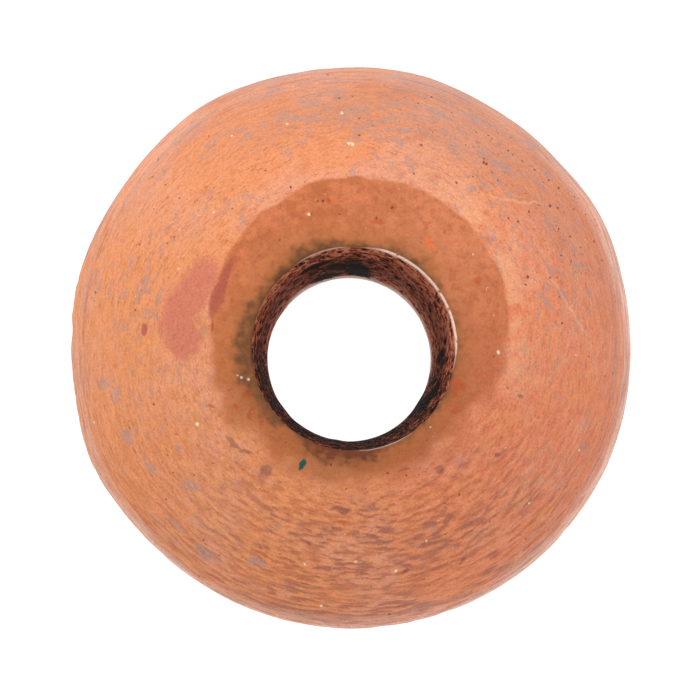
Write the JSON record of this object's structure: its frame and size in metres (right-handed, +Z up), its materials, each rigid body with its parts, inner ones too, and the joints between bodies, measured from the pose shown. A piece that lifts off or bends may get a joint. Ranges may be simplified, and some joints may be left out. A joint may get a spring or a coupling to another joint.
{
  "type": "spindle whorl",
  "caption": "Squat rounded bead of fired clay with a wide hole through it, worn flat round the hole above and flat below: a flywheel weight for a hand spindle.",
  "frame": {"origin": "on the body's upright axis, at the level of the flat it stands on", "axes": "+Z up along the hole, +Y towards the side where the upper flat has its crisp edge, +X to the right of that"},
  "size_m": [0.0299, 0.03, 0.018],
  "materials": {
    "fired_clay": "matte"
  },
  "bodies": {
    "root": {"whorl": "fired_clay"}
  },
  "joints": []
}
